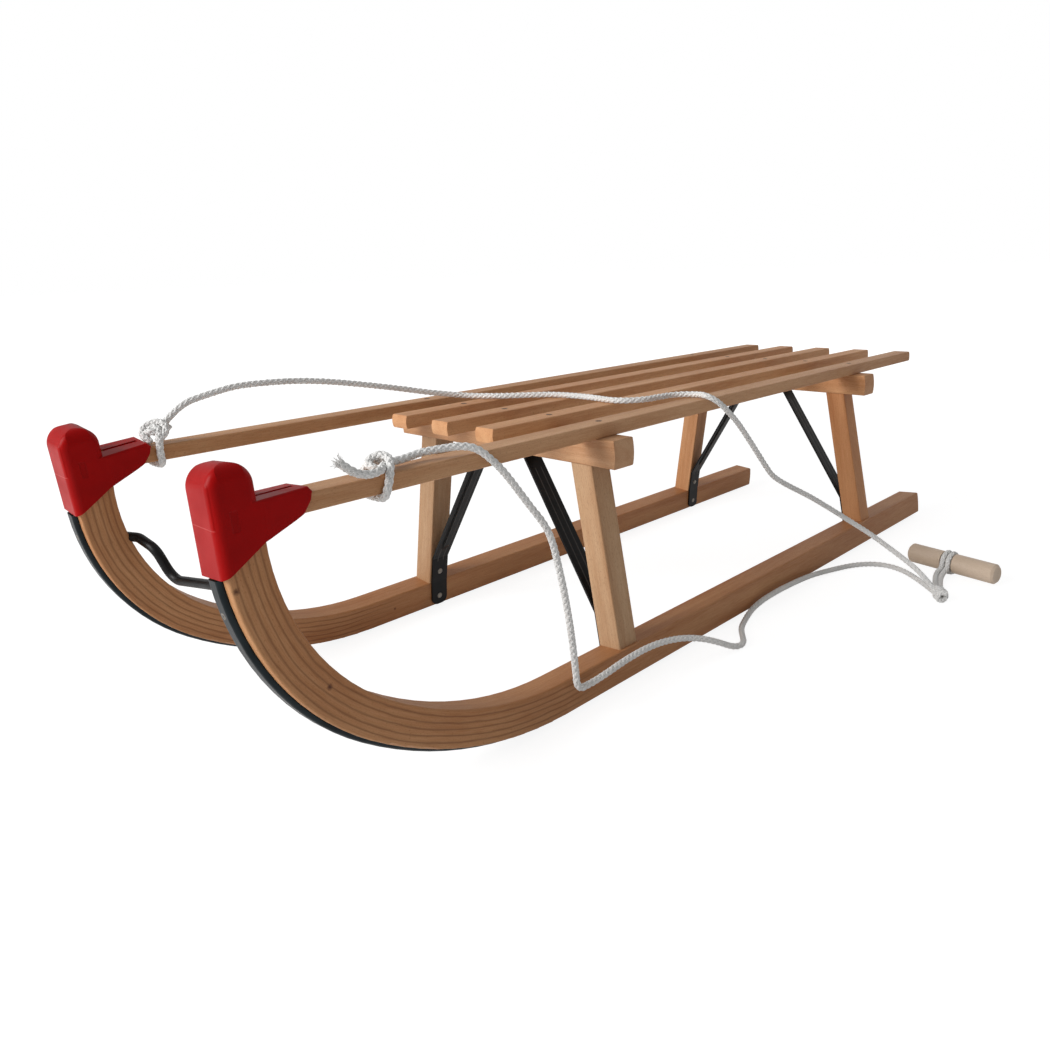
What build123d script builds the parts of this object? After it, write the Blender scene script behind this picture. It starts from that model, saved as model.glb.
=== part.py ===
from build123d import *
import math
import os

# A wooden sled with laminated runners that curve up to two nose caps, five seat slats
# on two crossbars, four splayed legs with steel braces, and a tow rope with a handle.
# +X points forwards, +Y to the left, +Z up; the origin is at the bottom centre on the floor.

# Overall
total_length = 1100.0
seat_height = 259.3
small_round = 1.5
fit_clearance = 0.25

# Seat slats; the two outer ones run on to the nose caps as side rails
slat_width = 24.6
slat_thickness = 14.2
slat_pitch = 67.3
slat_end_bulge = 1.5
inner_slat_overhang = 88.0

# Crossbars
crossbar_width = 28.4
crossbar_height = 27.9
crossbar_half_length = 166.3
crossbar_end_bulge = 1.6
crossbar_front_setback = 385.0
crossbar_rear_setback = 183.4

# Legs, square to the crossbar and splayed outwards to the runners
leg_depth = 26.6
leg_thickness = 27.2
leg_setback = 1.5
leg_end_gap = 32.7
tenon_depth = 20.0
tenon_thickness = 12.0
tenon_length = 16.0

# Runners, leaning inwards so that their noses meet the side rails
runner_width = 30.5
runner_height = 30.8
runner_offset = 155.2
runner_lean = 4.72
runner_round = 2.0
bow_radius_low = 342.1
bow_angle_low = 35.4
bow_angle_high = 53.8
bow_nose_gap = 2.86
bow_top_rise = 1.0
bow_straight = 24.62

# Steel shoes under the runners
shoe_width = 15.0
shoe_thickness = 4.1
shoe_crown = 3.4
shoe_rear_setback = 4.0
shoe_top_gap = 1.0

# Nose caps: a hood over the bow's end, and a tongue back over the side rail
cap_half_width = 19.8
cap_front_drop = 28.5
cap_dome_radius = 16.0
cap_top_rise = 31.4
cap_toe_depth = 4.0
cap_toe_rise = 1.5
cap_throat_depth = 31.0
cap_throat_drop = 11.0
cap_edge_round = 7.0
cap_crown_round = 12.0
cap_taper_start = 34.0
cap_length = 72.0
# Each cap sits a little nose-down on its bow, the right one more than the left
cap_pitch_left = 2.0
cap_pitch_right = 7.3
cap_pivot_back = 42.5
cap_pivot_drop = 19.7
tongue_half_width = 15.8
tongue_rise = 3.0
tongue_top_slope = 3.0
tongue_top_drop = 4.0
tongue_end_lean = 2.0
tongue_end_drop = 10.0
tongue_heel_run = 8.0
tongue_under_run = 16.0
tongue_under_drop = 3.0
tongue_slot_front = 34.0
tongue_slot_length = 32.0
tongue_slot_width = 5.0
tongue_slot_depth = 1.0
tongue_round = 1.8

# Steel braces between the crossbars and the legs
brace_width = 22.0
brace_thickness = 2.5
brace_foot_height = 6.0
brace_knee_height = 66.0
brace_top_offset = 36.0
brace_tab_end = 9.0
brace_foot_round = 8.0
rib_width = 8.0
rib_height = 1.8
rib_end_gap = 14.0
rib_ramp = 8.0

# Front stay, a bent round rod between the bows
stay_diameter = 8.5
stay_bend = 14.0
stay_end_height = 181.0
stay_end_inset = 5.6
stay_shoulder_gap = 4.3
stay_shoulder_back = 4.9
stay_shoulder_drop = 1.0
stay_elbow_in = 25.0
stay_elbow_back = 8.9
stay_elbow_drop = 8.0
stay_knee_in = 6.0
stay_knee_back = 18.9
stay_knee_drop = 38.0
stay_centre_back = 22.9
stay_centre_drop = 24.0

# Tow rope and its handle
rope_diameter = 7.0
rope_bend_limit = 400.0
handle_length = 116.0
handle_diameter = 25.0
handle_chamfer = 2.5
handle_center = (-316.0, 307.0)
handle_turn = 80.0
groove_depth = 3.5
groove_width = 16.0
groove_offset = -4.0

# Knots
knot_slack = 0.15
wrap_share = 0.75
wrap_pitch_share = 0.92
loop_foot_share = 0.8
loop_drop_share = 0.6
loop_lead_share = 1.6
loop_neck_share = 1.4

lean = math.radians(runner_lean)
sole_level = shoe_thickness * math.cos(lean) + (shoe_width / 2 - shoe_crown) * math.sin(lean)
front_x = total_length / 2
rear_x = -total_length / 2
crossbar_top = seat_height - slat_thickness
crossbar_bottom = crossbar_top - crossbar_height
rail_offset = 2 * slat_pitch
leg_top_offset = crossbar_half_length - leg_end_gap - leg_thickness / 2
crossbar_positions = {"front": front_x - crossbar_front_setback, "rear": rear_x + crossbar_rear_setback}
inner_slat_front = crossbar_positions["front"] + inner_slat_overhang

# Heights along the leaning runner, measured from its sole
rail_top = (seat_height - sole_level) / math.cos(lean)
rail_bottom = (crossbar_top - sole_level) / math.cos(lean)
bow_top_height = rail_top + bow_top_rise
cap_front_height = rail_bottom - cap_front_drop
cap_throat_height = rail_bottom - cap_throat_drop
cap_top_height = rail_top + cap_top_rise
cap_pivot_x = front_x - cap_pivot_back
cap_pivot_z = rail_bottom - cap_pivot_drop
tongue_rear = front_x - cap_length

# The bow's two arcs: the upper one ends a straight length below the bow's top, and both are
# set back so that the nose meets the cap's front wall
bow_end_angle = bow_angle_low + bow_angle_high
low_turn, end_turn = math.radians(bow_angle_low), math.radians(bow_end_angle)
upper_rise = bow_top_height - bow_straight - bow_radius_low * (1 - math.cos(low_turn))
bow_radius_high = upper_rise / (math.cos(low_turn) - math.cos(end_turn))
bow_shift = bow_radius_low - bow_radius_high
bow_start = front_x - bow_nose_gap - bow_shift * math.sin(low_turn) - bow_radius_high * math.sin(end_turn)
parts = {}


def keep(name, shape):
    """Stores a finished piece under its node name."""
    parts[name] = shape


def in_runner(across, up, side=1):
    """Turns a place in a runner's leaning section into Y and Z; up is measured from its sole."""
    y = runner_offset + across * math.cos(lean) - up * math.sin(lean)
    z = sole_level + across * math.sin(lean) + up * math.cos(lean)
    return side * y, z


def lean_runner(shape):
    """Places a piece drawn upright about Y = 0, sole at Z = 0, as the left runner stands."""
    return Pos(0, runner_offset, sole_level) * Rot(runner_lean, 0, 0) * shape


def mirrored(shape):
    """The same piece for the right-hand side."""
    return mirror(shape, about=Plane.XZ)


def prism_xz(outline, half_width):
    """An outline in the XZ plane, made solid to both sides of Y = 0."""
    return extrude(Plane.XZ * make_face(outline), half_width, both=True)


def prism_yz(points, x_low, x_high):
    """A straight-sided outline in the YZ plane, made solid from x_low to x_high."""
    face = make_face(Plane.YZ * Polyline(*points, close=True))
    return Pos(x_low, 0, 0) * extrude(face, x_high - x_low, dir=(1, 0, 0))


def bar(x_low, x_high, half_width, z_low, z_high, bulge_low, bulge_high):
    """A bar along X whose two ends can bulge in an arc seen from the side."""
    z_mid = (z_low + z_high) / 2
    lines = Curve() + Line((x_low, z_low), (x_high, z_low))
    if bulge_high:
        lines += ThreePointArc((x_high, z_low), (x_high + bulge_high, z_mid), (x_high, z_high))
    else:
        lines += Line((x_high, z_low), (x_high, z_high))
    lines += Line((x_high, z_high), (x_low, z_high))
    if bulge_low:
        lines += ThreePointArc((x_low, z_high), (x_low - bulge_low, z_mid), (x_low, z_low))
    else:
        lines += Line((x_low, z_high), (x_low, z_low))
    solid = prism_xz(lines, half_width)
    return fillet(solid.edges().filter_by(Axis.X), small_round)


def bow_point(angle, height):
    """A point of the bow in side view, at an angle up the curve and a height above its sole."""
    low, turn = math.radians(bow_angle_low), math.radians(angle)
    radius = bow_radius_low if turn <= low else bow_radius_high
    shift = bow_shift if turn > low else 0.0
    x = bow_start + shift * math.sin(low) + (radius - height) * math.sin(turn)
    z = bow_radius_low - shift * math.cos(low) - (radius - height) * math.cos(turn)
    return x, z


def bow_depth(point):
    """How far a point lies above the sole, measured square to the curve of the bow."""
    low = math.radians(bow_angle_low)
    if point.X < bow_start:
        return point.Z
    if math.atan2(point.X - bow_start, bow_radius_low - point.Z) < low:
        return bow_radius_low - math.hypot(point.X - bow_start, point.Z - bow_radius_low)
    center_x = bow_start + bow_shift * math.sin(low)
    center_z = bow_radius_low - bow_shift * math.cos(low)
    return bow_radius_high - math.hypot(point.X - center_x, point.Z - center_z)


def bow_angle_at(target, height):
    """The angle up the curve where the surface at a height reaches a given level."""
    low, high = 0.0, bow_end_angle
    for _ in range(60):
        middle = (low + high) / 2
        if bow_point(middle, height)[1] < target:
            low = middle
        else:
            high = middle
    return low


def runner_outline(x_rear, depth_low, depth_high, end_angle, end_level, bulge):
    """The side view of a runner or shoe between two depths measured up from the sole."""
    def side(depth, stop):
        first = [bow_point(0, depth), bow_point(bow_angle_low / 2, depth), bow_point(bow_angle_low, depth)]
        second = [first[2], bow_point((bow_angle_low + stop) / 2, depth), bow_point(stop, depth)]
        return first, second

    low_a, low_b = side(depth_low, end_angle)
    high_a, high_b = side(depth_high, end_angle)
    lines = Curve() + Line((x_rear, depth_low), low_a[0]) + ThreePointArc(*low_a) + ThreePointArc(*low_b)
    last_low, last_high = low_b[2], high_b[2]
    if end_level:
        turn = math.radians(end_angle)
        slope = (math.cos(turn), math.sin(turn))
        reach = (end_level - last_low[1]) / slope[1]
        tip_low = (last_low[0] + reach * slope[0], end_level)
        reach = (end_level - last_high[1]) / slope[1]
        tip_high = (last_high[0] + reach * slope[0], end_level)
        lines += Line(last_low, tip_low) + Line(tip_low, tip_high) + Line(tip_high, last_high)
    else:
        lines += Line(last_low, last_high)
    lines += ThreePointArc(*high_b) + ThreePointArc(*high_a) + Line(high_a[0], (x_rear, depth_high))
    if bulge:
        middle = (x_rear - bulge, (depth_low + depth_high) / 2)
        lines += ThreePointArc((x_rear, depth_high), middle, (x_rear, depth_low))
    else:
        lines += Line((x_rear, depth_high), (x_rear, depth_low))
    return lines


def ribbon(points, thickness):
    """The closed outline of a bent strip: the given line and its mitred copy on the left."""
    sides = []
    for a, b in zip(points[:-1], points[1:]):
        run = math.hypot(b[0] - a[0], b[1] - a[1])
        sides.append((-(b[1] - a[1]) / run, (b[0] - a[0]) / run))
    copy = []
    for index, point in enumerate(points):
        n1 = sides[max(index - 1, 0)]
        n2 = sides[min(index, len(sides) - 1)]
        scale = thickness / (1 + n1[0] * n2[0] + n1[1] * n2[1])
        copy.append((point[0] + (n1[0] + n2[0]) * scale, point[1] + (n1[1] + n2[1]) * scale))
    return points + copy[::-1]


def bent_radii(points, largest):
    """A bend radius for each inner point: 0.45 of the shorter run over tan of half the turn."""
    radii = []
    for a, b, c in zip(points[:-2], points[1:-1], points[2:]):
        first, second = Vector(*b) - Vector(*a), Vector(*c) - Vector(*b)
        turn = math.radians(first.get_angle(second))
        radii.append(min(largest, 0.45 * min(first.length, second.length) / math.tan(turn / 2)))
    return radii


def tube(points, radius, largest):
    """A round tube through the points, with straight runs and tangent arcs."""
    radii = bent_radii(points, largest)
    path = FilletPolyline(*points, radius=radii)
    section = (path ^ 0) * Circle(radius)
    return sweep(section, path=path), radii, path.length


# Seat slats and side rails
rail_nose = bow_point(bow_end_angle, runner_height)[0] - 2 * fit_clearance
inner_slats = {"slat_right": -slat_pitch, "slat_centre": 0.0, "slat_left": slat_pitch}
slat_rear = rear_x + slat_end_bulge
for name, y in inner_slats.items():
    slat = bar(slat_rear, inner_slat_front - slat_end_bulge, slat_width / 2, crossbar_top, seat_height,
               slat_end_bulge, slat_end_bulge)
    keep(name, Pos(0, y, 0) * slat)
for name, y in {"side_rail_right": -rail_offset, "side_rail_left": rail_offset}.items():
    rail = bar(slat_rear, rail_nose, slat_width / 2, crossbar_top, seat_height, slat_end_bulge, 0.0)
    keep(name, Pos(0, y, 0) * rail)

# Runners and steel shoes
runner = prism_xz(runner_outline(slat_rear, 0.0, runner_height, bow_end_angle, bow_top_height, slat_end_bulge),
                  runner_width / 2)


def leg_section(growth):
    """The front view of a left leg with its tenons, grown for the mortises."""
    inner_y, inner_z = in_runner(-runner_width / 2, runner_height)
    outer_y, outer_z = in_runner(runner_width / 2, runner_height)
    top_inner = leg_top_offset - leg_thickness / 2
    axis = Vector(inner_y - top_inner, inner_z - crossbar_bottom).normalized()
    top_left = Vector(top_inner, crossbar_bottom)
    top_right = Vector(top_inner + leg_thickness, crossbar_bottom)
    top_slope = (outer_z - inner_z) / (outer_y - inner_y)
    reach = (inner_z + top_slope * (top_right.X - inner_y) - top_right.Y) / (axis.Y - top_slope * axis.X)
    foot_left, foot_right = Vector(inner_y, inner_z), top_right + axis * reach
    shank = [(v.X, v.Y) for v in (top_left, top_right, foot_right, foot_left)]
    across = Vector(-axis.Y, axis.X)
    half = across * (tenon_thickness / 2 + growth)
    head, foot = (top_left + top_right) * 0.5, (foot_left + foot_right) * 0.5
    long = axis * (tenon_length + growth)
    inside = axis * tenon_thickness / 2
    upper = [head - half - long, head + half - long, head + half + inside, head - half + inside]
    lower = [foot - half + long, foot + half + long, foot + half - inside, foot - half - inside]
    return shank, [(v.X, v.Y) for v in upper], [(v.X, v.Y) for v in lower]


def leg_solids(x_mid):
    """The left leg at one crossbar and the solid that cuts its two mortises."""
    shank, upper, lower = leg_section(0.0)
    leg = prism_yz(shank, x_mid - leg_depth / 2, x_mid + leg_depth / 2)
    long_edges = [e for e in leg.edges() if e.length > leg_depth * 3]
    leg = fillet(long_edges, small_round)
    leg += prism_yz(upper, x_mid - tenon_depth / 2, x_mid + tenon_depth / 2)
    leg += prism_yz(lower, x_mid - tenon_depth / 2, x_mid + tenon_depth / 2)
    _, upper, lower = leg_section(fit_clearance)
    low, high = x_mid - tenon_depth / 2 - fit_clearance, x_mid + tenon_depth / 2 + fit_clearance
    return leg, prism_yz(upper, low, high), prism_yz(lower, low, high)


def along_bow(shape):
    """The edges of a runner or shoe that follow its length."""
    return [e for e in shape.edges() if abs((e @ 0).Y - (e @ 1).Y) < small_round and e.length > 2 * runner_height]


left_runner = lean_runner(fillet(along_bow(runner), runner_round))
mortises = {}
for place, x_bar in crossbar_positions.items():
    leg, upper_cut, lower_cut = leg_solids(x_bar - leg_setback)
    keep("leg_" + place + "_left", leg)
    keep("leg_" + place + "_right", mirrored(leg))
    mortises[place] = upper_cut
    left_runner -= lower_cut
keep("runner_left", left_runner)
keep("runner_right", mirrored(left_runner))


def shoe_solid(cap_pitch):
    """A left shoe that ends just under the front edge of a cap with this pitch."""
    turn = math.radians(cap_pitch)
    top = (cap_pivot_z + math.cos(turn) * (cap_front_height - cap_pivot_z)
           - math.sin(turn) * cap_pivot_back - shoe_top_gap)
    strip = prism_xz(runner_outline(rear_x + shoe_rear_setback, -shoe_thickness, 0.0, bow_angle_at(top, 0.0),
                                    0.0, 0.0), shoe_width / 2)
    outer_edges = [e for e in along_bow(strip) if bow_depth(e @ 0.5) < -shoe_thickness / 2]
    return lean_runner(fillet(outer_edges, shoe_crown))


keep("shoe_left", shoe_solid(cap_pitch_left))
keep("shoe_right", mirrored(shoe_solid(cap_pitch_right)))

# Crossbars
for place, x_bar in crossbar_positions.items():
    cross = bar(-crossbar_half_length + crossbar_end_bulge, crossbar_half_length - crossbar_end_bulge,
                crossbar_width / 2, crossbar_bottom, crossbar_top, crossbar_end_bulge, crossbar_end_bulge)
    cross = Pos(x_bar, 0, 0) * Rot(0, 0, 90) * cross
    cross = cross - mortises[place] - mirrored(mortises[place])
    keep("crossbar_" + place, cross)

# Braces
shank, _, _ = leg_section(0.0)
top_inner, foot_inner = shank[0], shank[3]


def leg_face(z):
    """Y of the leg's inner face at a height."""
    share = (z - foot_inner[1]) / (top_inner[1] - foot_inner[1])
    return foot_inner[0] + share * (top_inner[0] - foot_inner[0])


def rib_outline(line):
    """The side view of the stiffening rib that is pressed along a brace's long run."""
    count = len(line)
    outer = ribbon(line, brace_thickness)[count:][::-1]
    low, high = Vector(*outer[2]), Vector(*outer[3])
    along = (high - low).normalized()
    out = Vector(-along.Y, along.X)
    start, stop = low + along * rib_end_gap, high - along * rib_end_gap
    corners = [start - out * small_round, stop - out * small_round, stop,
               stop - along * rib_ramp + out * rib_height, start + along * rib_ramp + out * rib_height, start]
    return [(v.X, v.Y) for v in corners]


for place, x_bar in crossbar_positions.items():
    x_mid = x_bar - leg_setback
    line = [in_runner(-runner_width / 2, brace_foot_height - sole_level),
            foot_inner,
            (leg_face(brace_knee_height), brace_knee_height),
            (brace_top_offset, crossbar_bottom),
            (brace_tab_end, crossbar_bottom)]
    strip = prism_yz(ribbon(line, brace_thickness), x_mid - brace_width / 2, x_mid + brace_width / 2)
    foot_edges = [e for e in strip.edges().filter_by(GeomType.LINE)
                  if e.length < brace_thickness + small_round and e.center().Z < brace_foot_height * 2]
    strip = fillet(foot_edges, brace_foot_round)
    strip += prism_yz(rib_outline(line), x_mid - rib_width / 2, x_mid + rib_width / 2)
    keep("brace_" + place + "_left", strip)
    keep("brace_" + place + "_right", mirrored(strip))

# Nose caps
dome_x = front_x - cap_dome_radius
dome_z = cap_top_height - cap_dome_radius
dome_rear = dome_x - cap_dome_radius
tongue_top = rail_top + tongue_rise
cap_lines = Curve() + Line((front_x, cap_front_height), (front_x, dome_z))
cap_lines += ThreePointArc((front_x, dome_z), (dome_x, cap_top_height), (dome_rear, dome_z))
cap_lines += Polyline((dome_rear, dome_z), (dome_rear, tongue_top),
                      (tongue_rear + tongue_top_slope, tongue_top),
                      (tongue_rear, tongue_top - tongue_top_drop),
                      (tongue_rear + tongue_end_lean, tongue_top - tongue_end_drop),
                      (tongue_rear + tongue_heel_run, rail_bottom),
                      (tongue_rear + tongue_under_run, rail_bottom - tongue_under_drop),
                      (front_x - cap_throat_depth, cap_throat_height),
                      (front_x - cap_toe_depth, cap_front_height + cap_toe_rise),
                      (front_x, cap_front_height))
cap = prism_xz(cap_lines, cap_half_width)
taper_x = front_x - cap_taper_start
plan = Polyline((tongue_rear, -tongue_half_width), (taper_x, -cap_half_width), (front_x, -cap_half_width),
                (front_x, cap_half_width), (taper_x, cap_half_width), (tongue_rear, tongue_half_width), close=True)
cap = cap & extrude(make_face(plan), cap_top_height)
hood_edges = [e for e in cap.edges()
              if abs(abs(e.center().Y) - cap_half_width) < fit_clearance
              and (e.center().X > front_x - fit_clearance or e.center().Z > tongue_top + cap_dome_radius / 2)
              and e.center().Z > cap_front_height + small_round]
cap = fillet(hood_edges, cap_edge_round)
front_view = Rectangle(2 * cap_half_width, cap_top_height)
front_view = fillet(front_view.vertices().group_by(Axis.Y)[-1], cap_crown_round)
cap &= Plane.YZ * Pos(0, cap_top_height / 2) * extrude(front_view, total_length)
tongue_edges = [e for e in cap.edges()
                if e.center().X < taper_x - small_round and e.center().Z > rail_bottom
                and abs(e.center().Y) > tongue_half_width - small_round]
cap = fillet(tongue_edges, tongue_round)
slot = Pos(front_x - tongue_slot_front - tongue_slot_length / 2, 0, tongue_top) * Box(
    tongue_slot_length, tongue_slot_width, 2 * tongue_slot_depth)
bow_cavity = prism_xz(runner_outline(slat_rear, -fit_clearance, runner_height + fit_clearance, bow_end_angle,
                                     bow_top_height + fit_clearance, 0.0), runner_width / 2 + fit_clearance)
rail_cavity = Pos(0, rail_offset, (crossbar_top + seat_height) / 2) * Box(
    2 * (rail_nose + fit_clearance), slat_width + 2 * fit_clearance, slat_thickness + 2 * fit_clearance)
cap_axis = Axis((cap_pivot_x, 0, cap_pivot_z), (0, 1, 0))
cap_shell = cap - slot


def fitted_cap(cap_pitch):
    """A left cap, turned nose-down by this pitch and hollowed for its bow and rail."""
    return lean_runner(cap_shell.rotate(cap_axis, cap_pitch) - bow_cavity) - rail_cavity


keep("cap_left", fitted_cap(cap_pitch_left))
keep("cap_right", mirrored(fitted_cap(cap_pitch_right)))

# Front stay, one half listed from the bow to the middle
stay_level = stay_end_height - sole_level
bow_back = bow_point(bow_angle_at(stay_level, runner_height), runner_height)[0]
shoulder_y = in_runner(-runner_width / 2, stay_level)[0] - stay_shoulder_gap
elbow_y = shoulder_y - stay_elbow_in
knee_y = elbow_y - stay_knee_in
stay_half = [(bow_back + stay_end_inset, -in_runner(0, stay_level)[0], stay_end_height),
             (bow_back - stay_shoulder_back, -shoulder_y, stay_end_height - stay_shoulder_drop),
             (bow_back - stay_elbow_back, -elbow_y, stay_end_height - stay_elbow_drop),
             (bow_back - stay_knee_back, -knee_y, stay_end_height - stay_knee_drop)]
stay_middle = [(bow_back - stay_centre_back, 0.0, stay_end_height - stay_centre_drop)]
stay_line = stay_half + stay_middle + [(x, -y, z) for x, y, z in stay_half[::-1]]
stay, stay_radii, stay_length = tube(stay_line, stay_diameter / 2, stay_bend)
keep("front_stay", stay - parts["runner_left"] - parts["runner_right"])

# Tow rope: from the knot on the right rail over the seat to the handle, and back to the left rail
rope_points = [
    (470.5, -134.5, 269.0), (460.8, -134.5, 280.0), (443.4, -134.5, 292.9), (426.6, -134.6, 296.9),
    (395.6, -134.0, 302.6), (369.2, -133.6, 302.6), (330.8, -132.2, 300.7),
    (293.0, -129.3, 295.4), (254.3, -124.3, 287.6), (212.3, -117.1, 278.5),
    (183.3, -109.2, 271.3), (157.7, -99.5, 266.3), (139.2, -85.9, 263.1),
    (122.9, -55.3, 263.1), (98.4, -30.4, 263.0), (78.6, -6.9, 263.0),
    (73.1, 39.1, 263.0), (81.0, 83.3, 263.0), (59.2, 104.9, 263.0),
    (34.9, 107.3, 263.1), (11.2, 111.1, 263.0), (-2.4, 130.0, 263.1),
    (6.9, 148.7, 264.9), (-2.2, 158.5, 258.1), (-21.0, 160.3, 243.3),
    (-40.9, 159.8, 228.0), (-61.1, 160.9, 206.6), (-78.3, 162.8, 186.3),
    (-94.0, 166.2, 165.5), (-104.4, 167.7, 154.2), (-122.2, 171.6, 142.6),
    (-142.4, 178.8, 130.8), (-165.3, 187.6, 117.1), (-197.3, 199.8, 95.4),
    (-226.2, 213.9, 73.8), (-239.4, 229.1, 60.4), (-245.7, 251.6, 44.8),
    (-238.3, 277.2, 35.1), (-231.0, 293.4, 29.5), (-224.0, 310.5, 19.5), (-219.5, 321.5, 12.0),
]
rope_radius = rope_diameter / 2
rope_right, right_radii, right_length = tube(rope_points, rope_radius, rope_bend_limit)
near_points = [
    (409.5, 134.5, 265.0), (397.3, 134.5, 264.2), (382.1, 132.3, 265.3), (374.0, 133.6, 266.6),
    (363.2, 138.1, 267.3), (352.1, 141.9, 267.8), (342.5, 146.6, 267.5),
    (333.6, 150.6, 264.9), (324.5, 153.6, 257.6), (308.5, 156.2, 240.9),
    (286.8, 158.8, 210.0), (271.8, 163.4, 188.1), (264.9, 165.0, 172.7),
    (260.7, 166.8, 150.9), (256.7, 170.0, 121.9), (252.9, 173.0, 82.4),
    (252.6, 176.0, 50.9), (254.0, 178.9, 30.6), (238.6, 178.8, 29.6),
    (216.9, 178.8, 30.4), (184.2, 178.8, 33.9), (146.8, 179.0, 34.2),
    (115.6, 183.4, 31.5), (90.9, 192.7, 26.7), (70.4, 204.2, 18.7),
    (45.0, 210.3, 4.2), (30.3, 213.8, 4.0), (11.1, 198.3, 3.9),
    (-4.7, 187.5, 3.8), (-30.8, 178.3, 4.6), (-50.3, 174.9, 8.5),
    (-76.0, 176.5, 13.3), (-120.6, 178.4, 14.4), (-181.9, 177.1, 9.4),
    (-233.4, 182.8, 3.9), (-265.5, 196.4, 4.0), (-284.9, 214.2, 3.9),
    (-290.5, 235.1, 3.9), (-282.4, 259.1, 3.9), (-262.3, 284.9, 4.0),
    (-242.0, 306.8, 4.2), (-224.2, 321.4, 6.0),
]
rope_left, left_radii, left_length = tube(near_points, rope_radius, rope_bend_limit)
print("rope radii right", [round(r) for r in right_radii])
print("rope radii left", [round(r) for r in left_radii])
section = math.pi * rope_radius ** 2
print("rope lengths", round(right_length), round(left_length),
      "volume shares", round(rope_right.volume / (section * right_length), 4),
      round(rope_left.volume / (section * left_length), 4))
keep("rope_right", rope_right)
keep("rope_left", rope_left)

# Handle, a turned dowel with a groove for the rope, resting on the rope that goes round it
groove_radius = handle_diameter / 2 - groove_depth
loop_radius = groove_radius + rope_radius + knot_slack
handle = Cylinder(handle_diameter / 2, handle_length)
handle = chamfer(handle.edges().filter_by(GeomType.CIRCLE), handle_chamfer)
handle -= Pos(0, 0, groove_offset) * (Cylinder(handle_diameter, groove_width) - Cylinder(groove_radius, groove_width))
handle_place = Pos(*handle_center, loop_radius + rope_radius) * Rot(0, 0, handle_turn) * Rot(0, 90, 0)
keep("handle", handle_place * handle)


def wraps(center, along, count):
    """Turns of rope drawn tight round the strands that they hold: the body of a knot."""
    pitch = rope_diameter * wrap_pitch_share
    body = Cylinder(rope_radius, pitch * count)
    for turn in range(count):
        body += Pos(0, 0, (turn - (count - 1) / 2) * pitch) * Torus(rope_diameter * wrap_share, rope_radius)
    return Plane(origin=center, z_dir=along) * body


def ring(x, y):
    """A turn of rope round a side rail, and the height of the rope's centre above it."""
    z = (crossbar_top + seat_height) / 2
    gap = rope_diameter + 2 * knot_slack
    outline = RectangleRounded(slat_width + gap, slat_thickness + gap, rope_radius + knot_slack + small_round)
    path = (Plane(origin=(x, y, z), x_dir=(0, 1, 0), z_dir=(1, 0, 0)) * outline).wire()
    return sweep((path ^ 0) * Circle(rope_radius), path=path)


knot_height = seat_height + rope_diameter * wrap_share + rope_radius + knot_slack
knot_right = ring(tongue_rear - rope_radius - 2 * knot_slack, -rail_offset)
knot_right += wraps((rope_points[0][0], -rail_offset, knot_height), (1.0, 0.3, 0.0), 3)
knot_left = ring(near_points[0][0] + rope_diameter, rail_offset)
knot_left += wraps((near_points[0][0], rail_offset, knot_height), (1.0, 0.2, 0.0), 3)
tail_points = [(412.0, 136.0, 268.2), (424.0, 149.8, 265.0), (441.0, 151.5, 264.6), (458.0, 150.5, 276.7)]
knot_left += tube(tail_points, rope_radius, rope_bend_limit)[0]
keep("knot_right", knot_right)
keep("knot_left", knot_left)

knot_along = Vector(0.8, 0.6, 0.0)
knot_end = Vector(*near_points[-1]) + knot_along * rope_diameter
knot_handle = wraps((knot_end.X, knot_end.Y, rope_diameter * wrap_share + rope_radius), knot_along, 3)
for side in (-1, 1):
    middle = groove_offset + side * (rope_radius + knot_slack)
    knot_handle += handle_place * Pos(0, 0, middle) * Torus(loop_radius, rope_radius)
    foot = (handle_place * Pos(loop_foot_share * loop_radius, -loop_drop_share * loop_radius, middle)).position
    lead = (handle_place * Pos(loop_radius - knot_slack, -loop_lead_share * loop_radius, middle)).position
    line = [(foot.X, foot.Y, foot.Z),
            (lead.X, lead.Y, lead.Z),
            (knot_end.X - loop_neck_share * loop_radius, knot_end.Y + side * rope_radius, rope_radius + knot_slack),
            (knot_end.X, knot_end.Y + side * knot_slack, rope_diameter)]
    strand, _, _ = tube(line, rope_radius, rope_bend_limit)
    knot_handle += strand
keep("knot_handle", knot_handle)

os.makedirs("parts", exist_ok=True)
for name, shape in parts.items():
    shape.label = name
    export_step(shape, os.path.join("parts", name + ".step"))
    print(name, round(shape.volume), shape.is_valid if hasattr(shape, "is_valid") else "")
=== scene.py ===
import math
import random

import bmesh
import bpy
from mathutils import Matrix, Vector
from mathutils.bvhtree import BVHTree


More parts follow.
